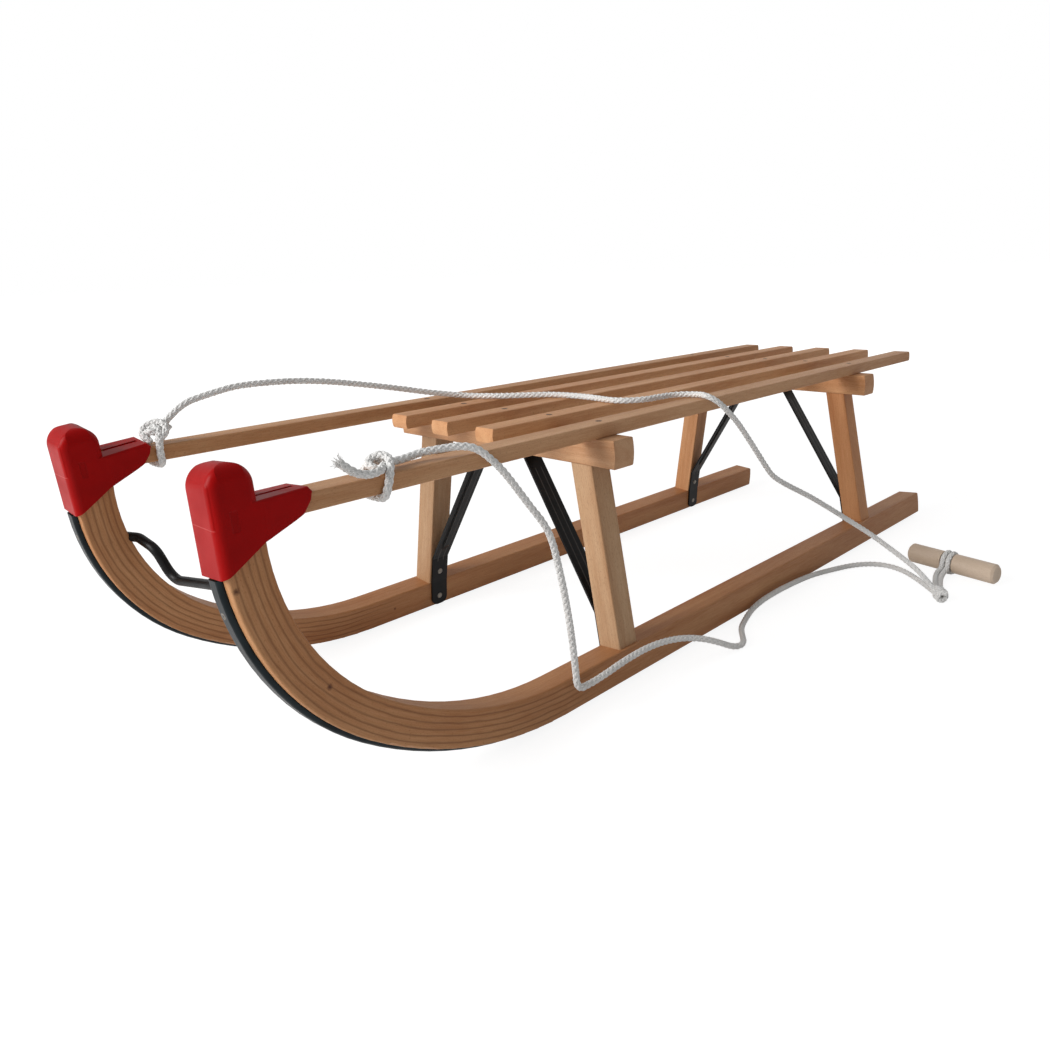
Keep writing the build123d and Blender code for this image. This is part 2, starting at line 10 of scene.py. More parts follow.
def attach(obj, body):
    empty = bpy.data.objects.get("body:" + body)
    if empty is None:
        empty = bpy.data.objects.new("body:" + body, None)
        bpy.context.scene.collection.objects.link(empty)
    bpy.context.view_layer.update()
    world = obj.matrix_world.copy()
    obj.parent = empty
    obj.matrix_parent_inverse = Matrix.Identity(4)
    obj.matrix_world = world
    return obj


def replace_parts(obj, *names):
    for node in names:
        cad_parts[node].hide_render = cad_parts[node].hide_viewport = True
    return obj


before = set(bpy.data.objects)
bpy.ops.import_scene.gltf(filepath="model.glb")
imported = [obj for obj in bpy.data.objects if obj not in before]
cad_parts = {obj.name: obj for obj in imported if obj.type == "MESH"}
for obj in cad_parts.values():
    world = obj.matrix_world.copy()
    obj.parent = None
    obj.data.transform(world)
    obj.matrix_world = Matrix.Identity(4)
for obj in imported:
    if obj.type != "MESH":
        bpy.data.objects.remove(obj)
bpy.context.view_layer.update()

bl_info = {
    "name": "Davos Sled",
    "version": (1, 0, 0),
    "blender": (4, 5, 0),
    "location": "3D View > Sidebar > Sled",
    "description": "Grain, braid, screws and finishes for a wooden sled",
    "category": "Object",
}

MM = 0.001

# The runner's section and bow, as the frame has them, in metres
SOLE_Y, SOLE_Z = 0.1552, 0.004423
LEAN = math.radians(4.72)
BOW_START = 0.2603
BOW_LOW, BOW_HIGH = 0.3421, 0.2108
BOW_TURN = math.radians(35.4)
RUNNER_HEIGHT = 0.0308

# How far a leg goes outwards and down on its way from crossbar to runner
LEG_SPLAY, LEG_DROP = 0.0312, 0.1835

# The two hands of the sled, and the sign of Y on each
SIDES = {"left": 1, "right": -1}

# The runners' tone, how dark their glue lines are, how far these wander, in layers, the length in which
# they fade in, and how far across a runner its sides begin, where alone they show
RUNNER_TONE = (0.86, 0.77, 0.68)
GLUE_STRENGTH = 0.56
GLUE_WANDER = 0.9
GLUE_FADE = 0.05
GLUE_ACROSS = (0.0140, 0.0150)

# How far each nose cap sits nose-down, and the point, along and up, that this turns it about
CAP_PITCH = {"cap_left": math.radians(2.0), "cap_right": math.radians(7.3)}
CAP_PIVOT = (0.5075, 0.2254)

# Middle of the dent in each cap's side and half of its length and height
DENT_PLACE = (0.029, 0.029)
DENT_HALF_LENGTH, DENT_HALF_HEIGHT = 0.0025, 0.0070

CROSSBARS = {"front": 0.1650, "rear": -0.3666}
SLATS = {
    "side_rail_right": -0.1346,
    "slat_right": -0.0673,
    "slat_centre": 0.0,
    "slat_left": 0.0673,
    "side_rail_left": 0.1346,
}
SEAT = 0.2593

# Small dark knots in the runners, with their radii
DARK_KNOTS = {
    "runner_left": [((0.5415, 0.1537, 0.2074), 0.0026), ((0.4858, 0.1608, 0.1212), 0.0026)],
    "runner_right": [((0.2276, -0.1394, 0.0180), 0.0022)],
}

# The pressed rib of a brace, whose edges carry a painted highlight: how far it lies behind its crossbar's
# middle, its half width, where it begins and ends, and the length in which it fades there
LEG_SETBACK = 0.0015
RIB_HALF_WIDTH = 0.0040
RIB_FOOT, RIB_TOP = 0.060, 0.202
RIB_END = 0.002

# Where heads sit: up the braces, on their tabs under the crossbars, and along the shoes
RIVET_HEIGHTS = (0.015, 0.047)
TAB_SCREW_Y = 0.022
SHOE_SCREWS_X = (-0.525, -0.10)
SHOE_TOP_SCREW = (0.1392, 0.188)

# How high the heads dome, how far they sit proud, and the size of a shoe screw beside a slat screw
SLAT_DOME, RIVET_DOME, TAB_DOME, SHOE_DOME = 0.00015, 0.0011, 0.0009, 0.0001
HEAD_LIFT = 0.00005
SHOE_SCREW_SHARE = 0.8

# The cross in a head and the depth of its rim, as shares of the head's radius
CROSS_HALF_WIDTH, CROSS_REACH, CROSS_DEPTH = 0.1, 0.5, 0.45
RIM_DEPTH = 0.5

# The handle's groove, the direction of its dowel and of the side that the rope leaves from
GROOVE = Vector((-0.31669, 0.30306, 0.01615))
HANDLE_TURN = math.radians(80.0)
DOWEL = Vector((math.cos(HANDLE_TURN), math.sin(HANDLE_TURN), 0.0))
LEAD = Vector((DOWEL.y, -DOWEL.x, 0.0))

# The rope's two turns round the dowel: radius of their middle lines, their angles in degrees, the angle
# at which they join, and how far each lies beyond half the rope's thickness from the groove's middle
BIGHT_RADIUS = 0.0126
BIGHT_ANGLES = range(-20, 301, 40)
BIGHT_BOTTOM = 318
BIGHT_ROOM = 0.00015

# The two runs from the knot to the dowel: places midway between them, and how far each lies from there,
# then how far from the groove and how high they turn up to it
HANDLE_LEAD = [
    ((-0.2190, 0.3290, 0.0075), 0.002),
    ((-0.2440, 0.3160, 0.0042), 0.003),
    ((-0.2680, 0.3060, 0.0040), 0.003),
]
LEAD_FOOT, LEAD_FOOT_HEIGHT = 0.026, 0.0062

# The turns of rope before the handle, in millimetres
HANDLE_COIL = {
    "center": (-217.5, 328.0, 9.6), "axis": (0.75, 0.66, 0.0), "radius": 5.9, "turns": 2.4, "pitch": 7.2,
}

# Rope routes: knot on the side rail first, knot before the handle last
ROPE_RIGHT = [
    (470.5, -134.5, 269.0), (460.8, -134.5, 280.0), (443.4, -134.5, 292.9), (426.6, -134.6, 296.9),
    (395.6, -134.0, 302.6), (369.2, -133.6, 302.6), (330.8, -132.2, 300.7), (293.0, -129.3, 295.4),
    (254.3, -124.3, 287.6), (212.3, -117.1, 278.5), (183.3, -109.2, 271.3), (157.7, -99.5, 266.3),
    (139.2, -85.9, 263.1), (122.9, -55.3, 263.1), (98.4, -30.4, 263.0), (78.6, -6.9, 263.0),
    (73.1, 39.1, 263.0), (81.0, 83.3, 263.0), (59.2, 104.9, 263.0), (34.9, 107.3, 263.1),
    (11.2, 111.1, 263.0), (-2.4, 130.0, 263.1), (6.9, 148.7, 264.9), (-2.2, 158.5, 258.1),
    (-21.0, 160.3, 243.3), (-40.9, 159.8, 228.0), (-61.1, 160.9, 206.6), (-78.3, 162.8, 186.3),
    (-94.0, 166.2, 165.5), (-104.4, 167.7, 154.2), (-122.2, 171.6, 142.6), (-142.4, 178.8, 130.8),
    (-165.3, 187.6, 117.1), (-197.3, 199.8, 95.4), (-226.2, 213.9, 73.8), (-239.4, 229.1, 60.4),
    (-245.7, 251.6, 44.8), (-238.3, 277.2, 35.1), (-231.0, 293.4, 29.5), (-224.0, 310.5, 19.5),
    (-219.5, 321.5, 12.0),
]
ROPE_LEFT = [
    (409.5, 134.5, 265.0), (397.3, 134.5, 264.2), (382.1, 132.3, 265.3), (374.0, 133.6, 266.6),
    (363.2, 138.1, 267.3), (352.1, 141.9, 267.8), (342.5, 146.6, 267.5), (333.6, 150.6, 264.9),
    (324.5, 153.6, 257.6), (308.5, 156.2, 240.9), (286.8, 158.8, 210.0), (271.8, 163.4, 188.1),
    (264.9, 165.0, 172.7), (260.7, 166.8, 150.9), (256.7, 170.0, 121.9), (252.9, 173.0, 82.4),
    (252.6, 176.0, 50.9), (254.0, 178.9, 30.6), (238.6, 178.8, 29.6), (216.9, 178.8, 30.4),
    (184.2, 178.8, 33.9), (146.8, 179.0, 34.2), (115.6, 183.4, 31.5), (90.9, 192.7, 26.7),
    (70.4, 204.2, 18.7), (45.0, 210.3, 4.2), (30.3, 213.8, 4.0), (11.1, 198.3, 3.9),
    (-4.7, 187.5, 3.8), (-30.8, 178.3, 4.6), (-50.3, 174.9, 8.5), (-76.0, 176.5, 13.3),
    (-120.6, 178.4, 14.4), (-181.9, 177.1, 9.4), (-233.4, 182.8, 3.9), (-265.5, 196.4, 4.0),
    (-284.9, 214.2, 3.9), (-290.5, 235.1, 3.9), (-282.4, 259.1, 3.9), (-262.3, 284.9, 4.0),
    (-242.0, 306.8, 4.2), (-224.2, 321.4, 6.0),
]

# Each knot is a few stretches of rope, given in the same way
KNOTS = {
    "knot_right": [
        [(474.3, -134.5, 241.4), (474.3, -143.0, 241.4), (474.3, -150.6, 243.0), (474.3, -150.6, 252.0),
         (474.3, -150.0, 260.0), (476.0, -144.0, 266.5), (479.0, -137.0, 270.0), (478.0, -130.0, 272.0),
         (472.0, -129.0, 270.0), (466.0, -133.0, 268.0), (462.0, -136.0, 271.0), (458.4, -134.5, 274.5)],
        [(474.3, -134.5, 241.4), (474.3, -126.0, 241.4), (474.3, -118.6, 243.0), (475.5, -118.4, 252.0),
         (475.0, -119.5, 261.0), (472.0, -125.0, 268.0), (470.5, -132.0, 274.5), (474.0, -139.0, 274.0),
         (479.5, -139.0, 268.5)],
        [(479.0, -128.0, 262.5), (482.5, -134.0, 267.0), (481.0, -141.5, 272.0), (474.0, -142.0, 277.5),
         (467.0, -134.5, 279.5), (464.0, -127.5, 275.0), (467.5, -123.5, 268.0), (475.0, -124.5, 263.0)],
    ],
    "knot_left": [
        [(421.5, 134.5, 241.4), (421.5, 143.0, 241.4), (421.5, 150.4, 243.0), (419.5, 151.4, 250.0),
         (417.0, 150.8, 257.0), (413.0, 147.0, 265.0), (409.0, 140.0, 270.0), (412.0, 133.0, 272.0),
         (418.0, 129.0, 269.5), (424.0, 132.0, 265.5), (421.0, 139.0, 263.3)],
        [(412.0, 137.0, 264.0), (418.0, 144.0, 264.0), (424.0, 149.5, 263.5), (433.0, 151.0, 263.0),
         (442.0, 151.0, 264.6), (451.0, 150.5, 270.0), (458.0, 150.5, 276.7)],
        [(421.5, 134.5, 241.4), (421.5, 126.0, 241.4), (421.5, 118.6, 243.0), (421.5, 118.6, 250.0),
         (419.0, 121.0, 262.0), (414.0, 127.0, 266.0), (409.0, 134.0, 268.0)],
    ],
}

# The stretch of knot_left that ends in loose fibres, how many there are, the length of one of their three
# parts, how much each bends away, and their thickness as a share of a strand's
FRAYED_STRETCH = 1
FRAYED_FIBRES = 40
FIBRE_PART, FIBRE_BEND = 0.0016, 0.00022
FIBRE_SHARE = 0.2

# Distance between the points of a cord's path
PATH_STEP = 0.004

# Radius of a strand and of the core inside the braid, as shares of the rope's diameter, and how far a
# strand dips under those that it crosses, as a share of its own radius
STRAND_SHARE, CORE_SHARE = 0.17, 0.35
WEAVE_DEPTH = 0.28

# Where the lamps stand, how large they are, and their share of the key light's power
LAMPS = {"key": ((3.2, -0.9, 1.7), 1.8, 1.0), "fill": ((-3.0, 0.2, 2.4), 2.4, 0.13)}
LAMP_TARGET = Vector((0.1, 0.0, 0.1))

# The floor's own glow, its share beside the sled, and where that share starts and ends to grow to all
FLOOR_GLOW = 1.2
FLOOR_NEAR_SHARE = 0.74
FLOOR_FADE = (1.0, 3.0)

# The camera that was solved from the photograph
CAMERA_PLACE = (0.7750, 0.6810, 0.4079)
CAMERA_AZIMUTH, CAMERA_ELEVATION, CAMERA_ROLL = (math.radians(d) for d in (132.71, 10.295, -1.843))
CAMERA_LENS, CAMERA_SENSOR = 29.583, 36.0
CAMERA_SHIFT = (-0.05805, -0.09861)


def colour_property(name, description, default):
    return bpy.props.FloatVectorProperty(
        name=name, description=description, subtype="COLOR", size=3, min=0.0, max=1.0, default=default)


def length_property(name, description, default):
    return bpy.props.FloatProperty(
        name=name, description=description, subtype="DISTANCE", unit="LENGTH", default=default)


class SledWoodSizes(bpy.types.PropertyGroup):
    light: colour_property("Light wood", "Pale growth of the beech", (0.60, 0.345, 0.180))
    dark: colour_property("Dark wood", "Darker growth of the beech", (0.41, 0.182, 0.074))
    fleck: colour_property("Fleck", "Short dark dashes in the beech", (0.20, 0.075, 0.026))
    layers: bpy.props.IntProperty(
        name="Layers", description="Glued layers across the bow", min=2, max=12, default=6)
    glue_from: length_property(
        "Glue lines from", "Where the glue lines of the bow begin, along the sled", 0.215)


class SledMetalSizes(bpy.types.PropertyGroup):
    steel: colour_property("Steel", "Blued steel of the shoes", (0.017, 0.023, 0.026))
    paint: colour_property("Black paint", "Paint on braces and stay", (0.0025, 0.0022, 0.0022))
    screw: colour_property("Screws", "Plated screw heads", (0.34, 0.31, 0.27))
    browned: colour_property("Slat screws", "Browned heads of the slat screws", (0.10, 0.055, 0.03))
    screw_radius: length_property("Screw head radius", "Radius of the screw heads in the slats", 0.0033)
    rivet_radius: length_property("Rivet radius", "Radius of the domed heads on the braces", 0.0034)


class SledCapSizes(bpy.types.PropertyGroup):
    red: colour_property("Red plastic", "Colour of the nose caps", (0.34, 0.0018, 0.0018))
    ledge_height: length_property(
        "Ledge height", "Height of the ledge on the front, above the cap's pivot", 0.0255)
    ledge_from: length_property(
        "Ledge from", "How far ahead of the cap's pivot the ledge begins", 0.0410)


class SledRopeSizes(bpy.types.PropertyGroup):
    white: colour_property("Rope", "Colour of the braid", (0.76, 0.755, 0.74))
    diameter: length_property("Diameter", "Thickness of the tow rope", 0.007)
    strands: bpy.props.IntProperty(
        name="Strands", description="Strands in the braid, half of them turning each way",
        min=4, max=24, default=8)
    lay: length_property("Lay", "Length in which a strand goes once round the rope", 0.024)


class SledStageSizes(bpy.types.PropertyGroup):
    floor: colour_property("Floor", "Colour of the floor", (0.90, 0.90, 0.90))
    key: bpy.props.FloatProperty(
        name="Key light", description="Power of the large lamp before the nose", subtype="POWER",
        unit="POWER", default=118.0)
    ambient: bpy.props.FloatProperty(
        name="Ambient", description="Strength of the even light from all round", min=0.0, default=0.33)
    mirrored: bpy.props.FloatProperty(
        name="Mirrored", description="How much of the white backdrop glossy surfaces show", min=0.0, max=1.0,
        default=0.4)


class Number:
    """A number inside a node tree. Sums written with it become Math nodes."""

    def __init__(self, tree, socket):
        self.tree = tree
        self.socket = socket

    def math(self, operation, *values):
        return self.tree.add("ShaderNodeMath", {"operation": operation}, dict(enumerate((self,) + values)))

    def __add__(self, other):
        return self.math("ADD", other)

    def __sub__(self, other):
        return self.math("SUBTRACT", other)

    def __mul__(self, other):
        return self.math("MULTIPLY", other)

    def __truediv__(self, other):
        return self.math("DIVIDE", other)

    def __pow__(self, other):
        return self.math("POWER", other)

    def __gt__(self, other):
        return self.math("GREATER_THAN", other)

    def __rsub__(self, other):
        return self.tree.add("ShaderNodeMath", {"operation": "SUBTRACT"}, {0: other, 1: self})

    def clamped(self):
        return self.math("MINIMUM", 1.0).math("MAXIMUM", 0.0)


class Shading:
    """Adds nodes to the tree of a material or a world."""

    def __init__(self, holder):
        holder.use_nodes = True
        self.nodes = holder.node_tree.nodes
        self.links = holder.node_tree.links

    def add(self, kind, settings, inputs, output=0):
        node = self.nodes.new(kind)
        for key, value in settings.items():
            setattr(node, key, value)
        for key, value in inputs.items():
            self.feed(node.inputs[key], value)
        return Number(self, node.outputs[output])

    def feed(self, socket, value):
        if isinstance(value, Number):
            self.links.new(value.socket, socket)
        elif hasattr(value, "__len__") and socket.type == "RGBA" and len(value) == 3:
            socket.default_value = (*value, 1.0)
        else:
            socket.default_value = value

    def place(self):
        return self.add("ShaderNodeTexCoord", {}, {}, "Object")

    def vector(self, operation, *values, output=0):
        return self.add("ShaderNodeVectorMath", {"operation": operation}, dict(enumerate(values)), output)

    def dot(self, place, direction):
        return self.vector("DOT_PRODUCT", place, direction, output=1)

    def joined(self, x, y, z):
        return self.add("ShaderNodeCombineXYZ", {}, {0: x, 1: y, 2: z})

    def noise(self, place, detail=2.0, roughness=0.5, distortion=0.0):
        return self.add("ShaderNodeTexNoise", {}, {
            "Vector": place, "Scale": 1.0, "Detail": detail, "Roughness": roughness,
            "Distortion": distortion})

    def stretched(self, place, scale, detail=2.0, roughness=0.5, distortion=0.0):
        """Noise with so many features a metre, all round or along each axis."""
        scale = scale if hasattr(scale, "__len__") else (scale,) * 3
        return self.noise(self.vector("MULTIPLY", place, scale), detail, roughness, distortion)

    def spread(self, value, low, high, to_low=0.0, to_high=1.0):
        return self.add("ShaderNodeMapRange", {"clamp": True}, {
            0: value, 1: low, 2: high, 3: to_low, 4: to_high})

    def mixed(self, share, first, second, blend="MIX"):
        return self.add("ShaderNodeMix", {"data_type": "RGBA", "blend_type": blend, "clamp_factor": True},
                        {0: share, 6: first, 7: second}, 2)

    def ray(self, kind):
        """1 for rays of one kind, such as those that come straight from the camera."""
        return self.add("ShaderNodeLightPath", {}, {}, "Is " + kind + " Ray")

    def node(self, kind):
        return next(n for n in self.nodes if n.type == kind)


class Finish(Shading):
    """A material in the making, with its main shader."""

    def __init__(self, name, **fixed):
        self.material = bpy.data.materials.new(name)
        super().__init__(self.material)
        self.shader = self.node("BSDF_PRINCIPLED")
        for socket, value in fixed.items():
            self.shader.inputs[socket.replace("_", " ")].default_value = value

    def bump(self, height, distance, strength=1.0):
        bumped = self.add("ShaderNodeBump", {}, {
            "Height": height, "Distance": distance, "Strength": strength})
        self.feed(self.shader.inputs["Normal"], bumped)

    def show(self, colour=None, roughness=None):
        if colour is not None:
            self.feed(self.shader.inputs["Base Color"], colour)
        if roughness is not None:
            self.feed(self.shader.inputs["Roughness"], roughness)
        return self.material


def along_axis(finish, axis):
    """Object coordinates turned so that the first one runs along the grain."""
    grain = Vector(axis).normalized()
    side = Vector((0, 1, 0)) if abs(grain.x) > 0.9 else Vector((1, 0, 0))
    third = grain.cross(side).normalized()
    place = finish.place()
    return finish.joined(*[finish.dot(place, tuple(d)) for d in (grain, side, third)])


def grained(finish, space, colours, tone, seed, layered=None, spots=()):
    """Beech on grain coordinates: growth bands, fibres, flecks, and small dark knots."""
    light, dark, fleck = colours
    shifted = finish.vector("ADD", space, (seed * 1.37, seed * 0.71, seed * 2.03))
    bands = finish.stretched(shifted, (3.0, 60.0, 60.0), 3.0, 0.55, 0.4)
    figure = finish.spread(bands, 0.36, 0.66)
    fibre = finish.stretched(shifted, (60.0, 1400.0, 1400.0))
    dash = finish.stretched(shifted, (420.0, 2300.0, 2300.0), 1.0)
    dashes = finish.spread(dash, 0.60, 0.70)
    cloud = finish.stretched(shifted, (9.0, 22.0, 22.0), 1.0)
    share = figure * 0.55 + finish.spread(fibre, 0.35, 0.65) * 0.3 + finish.spread(cloud, 0.35, 0.7) * 0.2
    colour = finish.mixed(share.clamped(), light, dark)
    colour = finish.mixed(dashes * 0.42, colour, fleck)
    if layered is not None:
        colour = finish.mixed(layered, colour, tuple(c * 0.62 for c in fleck))
    for spot, radius in spots:
        away = finish.vector("DISTANCE", finish.place(), spot, output=1)
        wobble = finish.stretched(finish.place(), 600.0, 1.0)
        near = finish.spread(away + wobble * radius, radius * 0.7, radius * 1.6, 1.0, 0.0)
        colour = finish.mixed(near * 0.85, colour, (0.07, 0.018, 0.008))
    colour = finish.mixed(1.0, colour, tone, "MULTIPLY")
    height = fibre * 0.6 + dashes * 0.4
    if layered is not None:
        height = height - layered * 1.5
    finish.bump(height, 0.00018, 0.5)
    return finish.show(colour, finish.spread(fibre, 0.3, 0.7, 0.42, 0.56))


def bow_space(finish, side):
    """Coordinates that follow a runner: length along it, across it, and depth above its sole."""
    place = finish.place()
    x = finish.dot(place, (1.0, 0.0, 0.0))
    out = (0.0, side * math.cos(LEAN), math.sin(LEAN))
    up = (0.0, -side * math.sin(LEAN), math.cos(LEAN))
    start = Vector((0.0, side * SOLE_Y, SOLE_Z))
    across = finish.dot(place, out) - start.dot(Vector(out))
    height = finish.dot(place, up) - start.dot(Vector(up))
    ahead = x - BOW_START
    shift = BOW_LOW - BOW_HIGH
    center_x, center_z = shift * math.sin(BOW_TURN), BOW_LOW - shift * math.cos(BOW_TURN)
    turn = ahead.math("ARCTAN2", BOW_LOW - height)
    turn_high = (ahead - center_x).math("ARCTAN2", center_z - height)
    far = (ahead * ahead + (height - BOW_LOW) * (height - BOW_LOW)) ** 0.5
    far_high = ((ahead - center_x) * (ahead - center_x) + (height - center_z) * (height - center_z)) ** 0.5
    beyond = turn > BOW_TURN
    curved = ahead > 0.0
    depth = (BOW_LOW - far) * (1.0 - beyond) + (BOW_HIGH - far_high) * beyond
    depth = height * (1.0 - curved) + depth * curved
    run = turn * BOW_LOW * (1.0 - beyond) + (turn_high * BOW_HIGH + shift * BOW_TURN) * beyond
    run = ahead * (1.0 - curved) + run * curved + BOW_START
    return run, across, depth


def dressed(node, material):
    """Gives a carried-over node its finish."""
    shape = bpy.data.objects[node]
    shape.data.materials.clear()
    shape.data.materials.append(material)
    for face in shape.data.polygons:
        face.material_index = 0


def carried(mesh, material, smooth=True):
    """A new piece from a mesh, riding on the sled."""
    mesh.materials.clear()
    mesh.materials.append(material)
    if smooth:
        mesh.shade_smooth()
    piece = bpy.data.objects.new(mesh.name, mesh)
    bpy.context.scene.collection.objects.link(piece)
    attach(piece, "root")
    return piece


def finished(name, fill, material, smooth=True):
    """A new piece from a bmesh that a function fills."""
    form = bmesh.new()
    fill(form)
    bmesh.ops.recalc_face_normals(form, faces=form.faces)
    mesh = bpy.data.meshes.new(name)
    form.to_mesh(mesh)
    form.free()
    return carried(mesh, material, smooth)


def standing(place, direction, turn=0.0):
    """A matrix that puts local Z along a direction at a place."""
    return (Matrix.Translation(place) @ Vector(direction).to_track_quat("Z", "Y").to_matrix().to_4x4()
            @ Matrix.Rotation(turn, 4, "Z"))


def seat_on(node, start, direction):
    """Where a straight line first meets a carried-over node, and which way its surface faces there."""
    mesh = bpy.data.objects[node].data
    surface = BVHTree.FromPolygons([v.co for v in mesh.vertices], [f.vertices for f in mesh.polygons])
    place, normal, _, _ = surface.ray_cast(Vector(start), Vector(direction))
    if place is None:
        raise RuntimeError("nothing to seat a head on at " + node)
    if normal.dot(Vector(direction)) > 0.0:
        normal.negate()
    return place, normal


def screw_head(form, matrix, radius, dome, recess):
    """A round head on a grid: its middle cells sink into a cross, and its rim goes down into the piece."""
    cells = 7
    made = bmesh.ops.create_grid(form, x_segments=cells, y_segments=cells, size=1.0)
    verts = made["verts"]
    faces = list({f for v in verts for f in v.link_faces})
    cross = []
    for face in faces:
        middle = face.calc_center_median()
        near, far = sorted((abs(middle.x), abs(middle.y)))
        if recess and near < CROSS_HALF_WIDTH and far < CROSS_REACH:
            cross.append(face)
    for vert in verts:
        reach = max(abs(vert.co.x), abs(vert.co.y))
        flat = Vector((vert.co.x, vert.co.y, 0.0))
        if flat.length > 0.0 and reach > CROSS_REACH:
            flat = flat.normalized() * reach
        vert.co = Vector((flat.x * radius, flat.y * radius, dome * (1.0 - min(reach, 1.0) ** 2)))
    if cross:
        sunk = bmesh.ops.extrude_face_region(form, geom=cross)
        low = [g for g in sunk["geom"] if isinstance(g, bmesh.types.BMVert)]
        bmesh.ops.translate(form, verts=low, vec=(0.0, 0.0, -radius * CROSS_DEPTH))
        bmesh.ops.delete(form, geom=cross, context="FACES")
        verts += low
    rim = [e for e in form.edges if e.is_boundary and all(v in set(verts) for v in e.verts)]
    skirt = bmesh.ops.extrude_edge_only(form, edges=rim)
    lower = [g for g in skirt["geom"] if isinstance(g, bmesh.types.BMVert)]
    bmesh.ops.translate(form, verts=lower, vec=(0.0, 0.0, -radius * RIM_DEPTH))
    closing = [g for g in skirt["geom"] if isinstance(g, bmesh.types.BMEdge) and g.is_boundary]
    bmesh.ops.contextual_create(form, geom=closing)
    verts += lower
    bmesh.ops.transform(form, matrix=matrix, verts=verts)


def route(points):
    """Points read from the smooth line of a rope's route, which is given in millimetres."""
    curve = bpy.data.curves.new("route", "CURVE")
    curve.dimensions = "3D"
    curve.resolution_u = 14
    spline = curve.splines.new("NURBS")
    spline.points.add(len(points) - 1)
    for point, place in zip(spline.points, points):
        point.co = (*[c * MM for c in place], 1.0)
    spline.order_u = 3
    spline.use_endpoint_u = True
    holder = bpy.data.objects.new("route", curve)
    mesh = bpy.data.meshes.new_from_object(holder)
    line = [v.co.copy() for v in mesh.vertices]
    bpy.data.objects.remove(holder)
    bpy.data.meshes.remove(mesh)
    return line


def coil(center, axis, radius, turns, pitch):
    """Turns of rope round an axis, in millimetres."""
    axis = Vector(axis).normalized()
    side = axis.cross(Vector((0, 0, 1))).normalized()
    up = side.cross(axis)
    steps = round(turns * 8)
    return [tuple(Vector(center) + axis * pitch * (k / 8 - turns / 2)
                  + (side * math.cos(k * math.pi / 4) + up * math.sin(k * math.pi / 4)) * radius)
            for k in range(steps + 1)]


def handle_bight(radius, gap):
    """The rope's way from the knot over the dowel, round it, and back beside itself."""
    def turn(degrees, side):
        angle = math.radians(degrees)
        outwards = LEAD * math.cos(angle) + Vector((0, 0, math.sin(angle)))
        return GROOVE + DOWEL * gap * side + outwards * radius

    half = []
    for side in (-1, 1):
        foot = GROOVE + LEAD * LEAD_FOOT + DOWEL * gap * side
        lead = [Vector((x, y + side * apart, z)) for (x, y, z), apart in HANDLE_LEAD]
        lead.append(Vector((foot.x, foot.y, LEAD_FOOT_HEIGHT)))
        half.append(lead + [turn(a, side) for a in BIGHT_ANGLES])
    bottom = turn(BIGHT_BOTTOM, 0.0)
    return [tuple(p / MM) for p in half[0] + [bottom] + half[1][::-1]]


def evenly(line, step):
    """The same line with points at even distances."""
    total = sum((b - a).length for a, b in zip(line[:-1], line[1:]))
    count = max(4, round(total / step))
    out, gone, index = [], 0.0, 0
    for k in range(count + 1):
        want = total * k / count
        while index < len(line) - 2 and gone + (line[index + 1] - line[index]).length < want:
            gone += (line[index + 1] - line[index]).length
            index += 1
        run = (line[index + 1] - line[index]).length
        out.append(line[index].lerp(line[index + 1], min(1.0, (want - gone) / max(run, 1e-9))))
    return out, total


def carried_frames(line):
    """At each point, two directions square to the line that turn with it as little as possible."""
    frames = []
    side = Vector((0, 0, 1))
    for index, point in enumerate(line):
        ahead = (line[min(index + 1, len(line) - 1)] - line[max(index - 1, 0)]).normalized()
        side = (side - ahead * side.dot(ahead)).normalized()
        frames.append((side.copy(), ahead.cross(side)))
    return frames


def braid(name, lines, sizes, material, frayed=False):
    """Hollow braids along some lines: half of the strands turn each way and pass over and under."""
    strand = sizes.diameter * STRAND_SHARE
    curve = bpy.data.curves.new(name, "CURVE")
    curve.dimensions = "3D"
    curve.bevel_depth = strand
    curve.bevel_resolution = 1
    curve.use_fill_caps = True

    def thread(places, share):
        spline = curve.splines.new("POLY")
        spline.points.add(len(places) - 1)
        for point, place in zip(spline.points, places):
            point.co = (*place, 1.0)
            point.radius = share

    half = sizes.strands // 2
    for line in lines:
        points, total = evenly(line, sizes.lay / sizes.strands / 3)
        frames = carried_frames(points)
        turns = [2.0 * math.pi * total * k / (len(points) - 1) / sizes.lay for k in range(len(points))]
        for number in range(sizes.strands):
            way = 1 if number < half else -1
            start = (number % half) * 2.0 * math.pi / half
            places = []
            for point, (side, up), turn in zip(points, frames, turns):
                dip = 1.0 + WEAVE_DEPTH - WEAVE_DEPTH * way * math.cos(half * turn)
                out = sizes.diameter / 2 - strand * dip
                angle = start + way * turn
                places.append(point + (side * math.cos(angle) + up * math.sin(angle)) * out)
            thread(places, 1.0)
        thread(points[::2] + points[-1:], CORE_SHARE * sizes.diameter / strand)
    if frayed:
        rng = random.Random(11)
        end = lines[FRAYED_STRETCH][-1]
        ahead = (end - lines[FRAYED_STRETCH][-2]).normalized()
        for _ in range(FRAYED_FIBRES):
            lean = Vector([rng.uniform(-1, 1) for _ in range(3)])
            start = end + (lean - ahead * lean.dot(ahead)) * sizes.diameter * CORE_SHARE - ahead * MM
            reach = rng.uniform(0.6, 1.1)
            thread([start + ahead * FIBRE_PART * reach * k + lean * FIBRE_BEND * k * k for k in range(4)],
                   FIBRE_SHARE)
    holder = bpy.data.objects.new(name, curve)
    mesh = bpy.data.meshes.new_from_object(holder)
    bpy.data.objects.remove(holder)
    mesh.name = name
    return carried(mesh, material)


